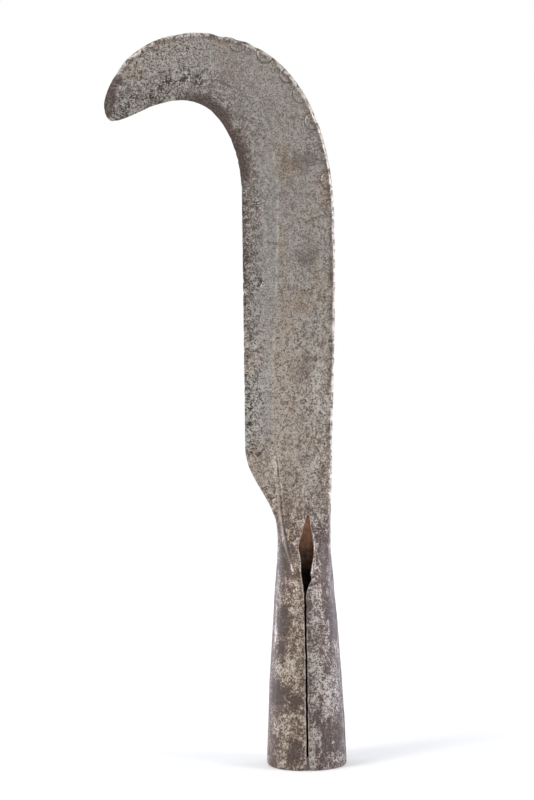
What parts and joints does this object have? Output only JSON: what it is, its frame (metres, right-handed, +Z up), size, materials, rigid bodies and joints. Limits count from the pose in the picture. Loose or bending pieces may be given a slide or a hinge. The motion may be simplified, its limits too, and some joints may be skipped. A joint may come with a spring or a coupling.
{
  "type": "billhook head",
  "caption": "Forged billhook head with a hooked single-edged blade, a steel strip let into its cutting edge and a rolled open-seam socket for a handle.",
  "frame": {"origin": "centre of the socket's mouth, in the plane of the mouth's rim", "axes": "+Z up the socket's axis to the top of the hook, -X towards the cutting edge and the hook's nose, -Y towards the face with the socket's open seam"},
  "size_m": [0.1275, 0.0436, 0.4],
  "materials": {
    "blade_iron": "satin",
    "edge_steel": "satin",
    "socket_iron": "satin"
  },
  "bodies": {
    "root": {"blade_body": "blade_iron", "steel_edge": "edge_steel", "socket": "socket_iron"}
  },
  "joints": []
}
